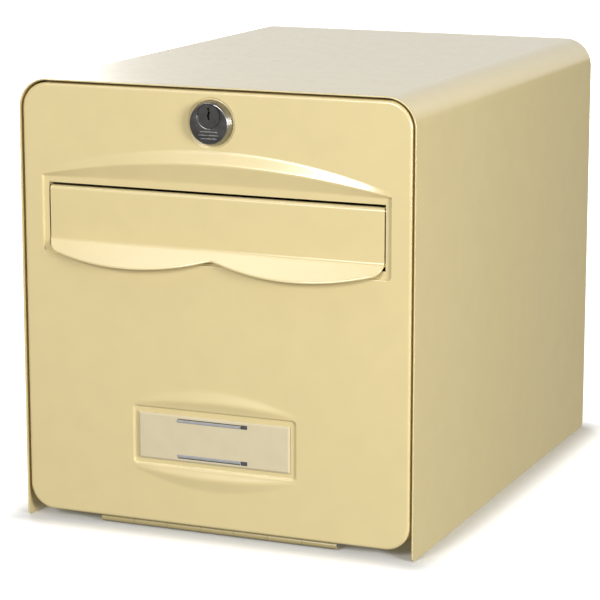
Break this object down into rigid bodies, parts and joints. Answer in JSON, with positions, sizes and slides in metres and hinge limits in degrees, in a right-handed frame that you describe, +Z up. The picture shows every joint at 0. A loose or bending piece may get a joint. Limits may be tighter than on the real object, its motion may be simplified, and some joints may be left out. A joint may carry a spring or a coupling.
{
  "type": "letter box",
  "caption": "Steel letter box with a drop-down front door, a top-hinged letter flap with a scalloped lip, a cam lock and a clear name-plate cover.",
  "frame": {"origin": "on the ground under the middle of the whole box, flap lip included", "axes": "+Z up, front faces -Y, +X to the right as seen from the front"},
  "size_m": [0.28, 0.3904, 0.3],
  "materials": {
    "paint": "satin ivory powder coat on steel sheet",
    "zinc_steel": "bright zinc-plated steel",
    "rubber": "matt black",
    "lock_chrome": "polished nickel-chrome on die-cast zinc",
    "wafer_brass": "plain",
    "clear_plastic": "clear moulded plastic, polished"
  },
  "bodies": {
    "casing": {"casing_wrap": "paint", "back_panel": "paint", "floor_tray": "paint", "keeper_plate": "paint", "door_bumpers": "rubber", "hinge_leaf_fixed": "paint", "hinge_pin": "zinc_steel", "hinge_rivets_floor": "zinc_steel"},
    "door": {"door_panel": "paint", "hinge_leaf_door": "paint", "hinge_rivets_door": "zinc_steel", "flap_rod": "zinc_steel", "flap_bracket_left": "paint", "flap_bracket_right": "paint", "flap_bumpers": "rubber", "lock_body": "lock_chrome", "lock_nut": "zinc_steel", "nameplate_cover": "clear_plastic"},
    "flap": {"flap": "paint"},
    "lock_cylinder": {"lock_plug": "lock_chrome", "lock_wafers": "wafer_brass", "lock_cam": "zinc_steel", "lock_cam_washer": "zinc_steel", "lock_cam_screw": "zinc_steel"}
  },
  "joints": [
    {"name": "door_hinge", "type": "hinge", "parent": "casing", "child": "door", "pos_m": [0, -0.17827, 0.0034], "axis": [1, 0, 0], "range_deg": [0, 85]},
    {"name": "flap_hinge", "type": "hinge", "parent": "door", "child": "flap", "pos_m": [0, -0.18052, 0.22675], "axis": [-1, 0, 0], "range_deg": [0, 85]},
    {"name": "lock_turn", "type": "hinge", "parent": "door", "child": "lock_cylinder", "pos_m": [0, -0.18477, 0.2818], "axis": [0, 1, 0], "range_deg": [0, 90]}
  ]
}
